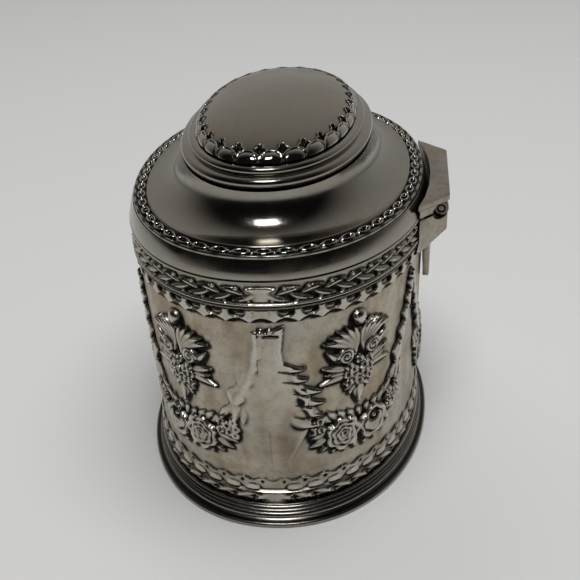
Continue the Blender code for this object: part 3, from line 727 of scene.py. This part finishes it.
# ---- hinge on the wall: bracket block, shield-shaped tongue plate, three knuckles and the pin,
# all filed up from solid metal and soldered to the wall ----
hinge_silver = plated("hinge_silver_plate", (0.40, 0.37, 0.32, 1), warm=0.5, grey=0.4, polish=0.32,
                      brushed=0.04, pitting=0.4, mottled=0.35)
knuckle_silver = plated("knuckle_silver_plate", (0.20, 0.19, 0.17, 1), warm=0.3, grey=0.4,
                        polish=0.38, brushed=0.08, pitting=0.2)
pin_steel = plated("pin_steel_rod", (0.16, 0.155, 0.15, 1), warm=0.2, grey=0.4, polish=0.30,
                   brushed=0.05, pitting=0.15)


def filed(piece_name, node, edge, material, body, slot):
    """A copy of a CAD node's shape with its sharp edges filed round."""
    bm = bmesh.new()
    bm.from_mesh(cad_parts[node].data)
    bmesh.ops.scale(bm, vec=(1 / MM,) * 3, verts=bm.verts)
    bmesh.ops.translate(bm, vec=(0, -OVAL_Y, 0), verts=bm.verts)
    bmesh.ops.remove_doubles(bm, verts=bm.verts, dist=1e-3)
    bmesh.ops.dissolve_limit(bm, angle_limit=math.radians(2), verts=bm.verts, edges=bm.edges)
    corners = [e for e in bm.edges if e.is_manifold and e.calc_face_angle(0) > math.radians(28)]
    bmesh.ops.bevel(bm, geom=corners, offset=edge, affect="EDGES", segments=3, profile=0.5,
                    material=-1, clamp_overlap=True)
    bmesh.ops.recalc_face_normals(bm, faces=bm.faces)
    mesh = bpy.data.meshes.new(piece_name)
    bm.to_mesh(mesh)
    bm.free()
    hang(piece_name, mesh, material, body, slot, node, sharp=30)


filed("bracket_block", "hinge_bracket", 0.22, hinge_silver, "vessel", "hinge_silver")
filed("tongue_shield", "hinge_tongue", 0.3, hinge_silver, "vessel", "hinge_silver")
for which in ("left", "middle", "right"):
    filed("wall_knuckle_" + which, "body_knuckle_" + which, 0.15, knuckle_silver, "vessel",
          "knuckle_silver")
filed("pin_rod", "hinge_pin", 0.12, pin_steel, "vessel", "pin_steel")

# ---- lid rim: rolled edge band that closes over the bezel, hemmed inside ----
RIM_FOOT, RIM_TOP = rim_low.z, rim_high.z
lid_silver = plated("lid_silver_plate", (0.33, 0.315, 0.28, 1), warm=0.25, grey=0.3, polish=0.17,
                    brushed=0.0, pitting=0.08)
rim_profile = eased([(0.45, RIM_FOOT), (0.03, RIM_FOOT + 0.08), (-0.04, RIM_FOOT + 0.35),
                     (0.03, RIM_FOOT + 0.75), (0.22, RIM_FOOT + 0.95), (0.24, RIM_FOOT + 1.5),
                     (0.48, RIM_FOOT + 2.6), (0.80, RIM_FOOT + 3.7), (1.10, RIM_FOOT + 4.6),
                     (1.40, RIM_TOP - 0.25), (1.52, RIM_TOP), (1.52, RIM_TOP - 0.9),
                     (2.228, RIM_TOP - 0.9), (2.228, RIM_FOOT)], radius=0.4)
hang("rim_band", ring_mesh("rim_band", rim_profile), lid_silver, "lid", "lid_silver", "lid_rim")

# ---- lid shell: spun sheet with a flange, a pressed chain of beads in the channel between two
# ridges, and a smooth cove that climbs to the collar ----
SHELL_EDGE, FLANGE_END = 1.65, 6.1
FLANGE_TOP = RIM_TOP + 1.3
COVE_WIDTH, COVE_HEIGHT, COVE_POWER = 9.1, 8.7, 2.2
lid_embossed = plated("lid_pressed_plate", (0.33, 0.315, 0.28, 1), warm=0.25, grey=0.3,
                      polish=0.17, brushed=0.0, pitting=0.10, embossed=True)
BEAD_COUNT, CHAIN_MIDDLE = 54, 3.72


def round_sheet(name, profile, columns, pressed, half_width=beside_rim):
    """A closed ring of (inset, height) rows; pressed gives each row and column its relief and
    direction, as (share of a repeat, row) arrays."""
    inset = np.array([point[0] for point in profile])[:, None]
    z = np.array([point[1] for point in profile])[:, None]
    turn_table = np.linspace(0, math.tau, 8001)
    x, y = oval(HALF_LENGTH - 4, HALF_WIDTH - 4, turn_table)
    length = np.concatenate([[0], np.cumsum(np.hypot(np.diff(x), np.diff(y)))])
    share = np.linspace(0, 1, columns + 1)[None, :]
    turn = np.interp(share * length[-1], length, turn_table)
    height, out_inset, out_z = pressed(share)
    inset, z = inset - height * out_inset, z + height * out_z
    x, y = oval(HALF_LENGTH - inset, half_width(HALF_LENGTH - inset), turn)
    place = np.stack([x, y, np.broadcast_to(z, x.shape)], axis=-1)
    near, wide = softened(height, 2), softened(height, 7)
    # Black oxide in the narrow recesses, plus painted shade on the sheet round the raised work.
    hollow = np.clip((near - height) / 0.1 + (wide - height) / 0.3, 0, 1)
    worn = np.clip((height - wide) / 0.2, 0, 1)
    place, hollow, worn = (np.concatenate([grid, grid[:1]]) for grid in (place, hollow, worn))
    return sheet_mesh(name, place, hollow=hollow, worn=worn)


channel = [(SHELL_EDGE, RIM_TOP - 0.6), (SHELL_EDGE, RIM_TOP + 0.35), (1.75, RIM_TOP + 0.6),
           (2.0, RIM_TOP + 0.76), (2.3, RIM_TOP + 0.7), (2.55, RIM_TOP + 0.42)]
channel += [(2.55 + 0.125 * i, RIM_TOP + 0.4 + 0.0125 * i) for i in range(1, 19)]
channel += [(4.95, RIM_TOP + 0.75), (5.1, RIM_TOP + 1.15), (5.35, RIM_TOP + 1.38),
            (5.65, RIM_TOP + 1.4), (5.9, RIM_TOP + 1.25), (6.1, FLANGE_TOP - 0.02)]
flange_under = [(6.1, FLANGE_TOP - 0.8), (5.0, RIM_TOP - 0.1), (2.85, RIM_TOP - 0.6)]


def bead_chain(share):
    """Eye-shaped beads in twisted wire, lying in the channel."""
    inset = np.array([point[0] for point in channel + flange_under])[:, None]
    offset = (share * BEAD_COUNT) % 1 - 0.5
    across = inset - CHAIN_MIDDLE
    eye = np.hypot(offset / 0.42, across / 1.02)
    ring = 0.5 * rounded_top((eye - 0.84) / 0.24)
    knot = 0.3 * rounded_top(np.hypot((0.5 - np.abs(offset)) / 0.05, across / 0.4))
    inside = (inset > 2.5) & (inset < 4.98)
    top_rows = np.arange(inset.size)[:, None] < len(channel)
    sunk = -0.32 * (eye < 0.68) - 0.12 * (eye > 1.1)
    raised = np.maximum(ring, knot)
    chain = np.where(raised > 0, raised, sunk) * inside * top_rows
    return chain, 0.0, 1.0


hang("lid_flange", round_sheet("lid_flange", channel + flange_under, BEAD_COUNT * 24, bead_chain),
     lid_embossed, "lid", "lid_silver", "lid_shell", sharp=75)


def cove_points(offset, steps):
    """From the flange up to the collar, flat at its foot and upright at its top."""
    width, height = COVE_WIDTH + offset, COVE_HEIGHT - offset
    points = []
    for i in range(steps + 1):
        angle = math.pi / 2 * i / steps
        along = 1 - math.cos(angle) ** (2 / COVE_POWER) if i < steps else 1
        rise = (height + offset) * along
        points.append((FLANGE_END + width * math.sin(angle) ** (2 / COVE_POWER),
                       FLANGE_TOP - offset + rise))
    return points


cove_profile = cove_points(0, 44) + cove_points(0.9, 20)[::-1]
hang("lid_cove", ring_mesh("lid_cove", cove_profile, steps=480), lid_silver, "lid", "lid_silver",
     "lid_shell")

# ---- collar: two rounded steps turned in one ring, soldered on the cove's upper edge ----
collar_low, collar_high = (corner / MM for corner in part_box("lid_collar"))
LOWER_STEP, UPPER_STEP = 1.35, 1.05
LOWER_INSET, UPPER_INSET = 16.3, 18.1
lower_z = collar_low.z + LOWER_STEP * math.sin(math.radians(75))
upper_z = lower_z + 2.25


def arc(centre_inset, centre_z, radius, start, end, steps):
    """Profile points on a round that bulges outwards; angles in degrees above level."""
    angles = [math.radians(start + (end - start) * i / steps) for i in range(steps + 1)]
    return [(centre_inset - radius * math.cos(a), centre_z + radius * math.sin(a)) for a in angles]


collar_profile = (arc(LOWER_INSET, lower_z, LOWER_STEP, -75, 60, 18)
                  + [(UPPER_INSET - 1.0, upper_z - 0.95)]
                  + arc(UPPER_INSET, upper_z, UPPER_STEP, -50, 80, 16)
                  + [(20.2, collar_high.z), (20.2, collar_high.z - 1.0),
                     (UPPER_INSET + 0.6, upper_z - 0.6), (LOWER_INSET + 1.3, lower_z + 0.4),
                     (LOWER_INSET + 1.3, collar_low.z)])
hang("collar_ring", ring_mesh("collar_ring", collar_profile), lid_silver, "lid", "lid_silver",
     "lid_collar")

# ---- boss: domed cap pressed from sheet, satin on top, with a border of scallops and small
# leaves round its rim ----
boss_low, boss_high = (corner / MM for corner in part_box("lid_boss"))
BOSS_LENGTH, BOSS_WIDTH = boss_high.x, (boss_high.y - boss_low.y) / 2
BOSS_RISE, BOSS_POWER = boss_high.z - boss_low.z, 1.9
BORDER_COUNT, BORDER_PITCH, SCALLOP_MIDDLE = 27, 6.45, 3.22
boss_silver = plated("boss_silver_plate", (0.31, 0.285, 0.24, 1), warm=0.3, grey=0.1, polish=0.21,
                     brushed=0.0, pitting=0.06, embossed=True)


def dome_rows(shares, thickness):
    """(inset, height) of the dome's rings at shares of its half length."""
    return [(HALF_LENGTH - (BOSS_LENGTH - thickness) * share,
             boss_low.z + (BOSS_RISE - thickness)
             * (1 - share ** BOSS_POWER) ** (1 / BOSS_POWER)) for share in shares]


def boss_width(half_x):
    return half_x * BOSS_WIDTH / BOSS_LENGTH


rim_angles = np.linspace(0, 1, 46)
outer_shares = [1 - 0.18 * a for a in rim_angles] + [0.78, 0.72, 0.64, 0.55, 0.45, 0.34, 0.22,
                                                     0.11, 0.05, 0.02, 0.0]
inner_shares = [0.0, 0.1, 0.3, 0.5, 0.66, 0.8, 0.88, 0.94, 0.98, 1.0]
dome_profile = dome_rows(outer_shares, 0) + dome_rows(inner_shares, 0.9)


def border(share):
    """Scallops along the rim with pointed three-lobed leaves between and above them."""
    points = np.array(dome_profile)
    steps = np.linalg.norm(np.diff(points, axis=0), axis=1)
    up = np.concatenate([[0], np.cumsum(steps)])[:, None]
    outside = np.arange(len(points))[:, None] < len(outer_shares)
    offset = (share * BORDER_COUNT) % 1 - 0.5
    across = (0.5 - np.abs(offset)) * BORDER_PITCH
    scallop = np.hypot((SCALLOP_MIDDLE - across) / 2.85, (up - 0.3) / 2.35)
    cushion = 0.6 * rounded_top(scallop) ** 0.6
    lip = 0.42 * rounded_top((scallop - 1.19) / 0.12)
    lobes = np.minimum.reduce([np.hypot(across - 0.95, up - 3.0) - 0.85,
                               np.hypot(across, (up - 4.1) * 0.75) - 0.75,
                               np.hypot(across, (up - 2.2) * 0.5) - 0.5])
    leaf = -0.38 * step(-lobes, 0.12)
    outline = 0.42 * rounded_top((lobes - 0.16) / 0.22)
    raised = np.maximum.reduce([cushion, lip * (up < 3.4), outline])
    height = np.where(raised > 0, raised, leaf) * (up < 6.5)
    along_rows = np.gradient(points, axis=0)
    along_rows = along_rows / np.linalg.norm(along_rows, axis=1)[:, None]
    return height * outside, along_rows[:, 1][:, None], along_rows[:, 0][:, None]


hang("boss_dome", round_sheet("boss_dome", dome_profile, BORDER_COUNT * 34, border, boss_width),
     boss_silver, "lid", "boss_silver", "lid_boss", sharp=75)

# ---- hinge on the lid: flat leaf on its web, and two knuckles between the wall's three ----
filed("leaf_plate", "hinge_leaf", 0.2, hinge_silver, "lid", "hinge_silver")
for which in ("left", "right"):
    filed("lid_barrel_" + which, "lid_knuckle_" + which, 0.15, knuckle_silver, "lid",
          "knuckle_silver")
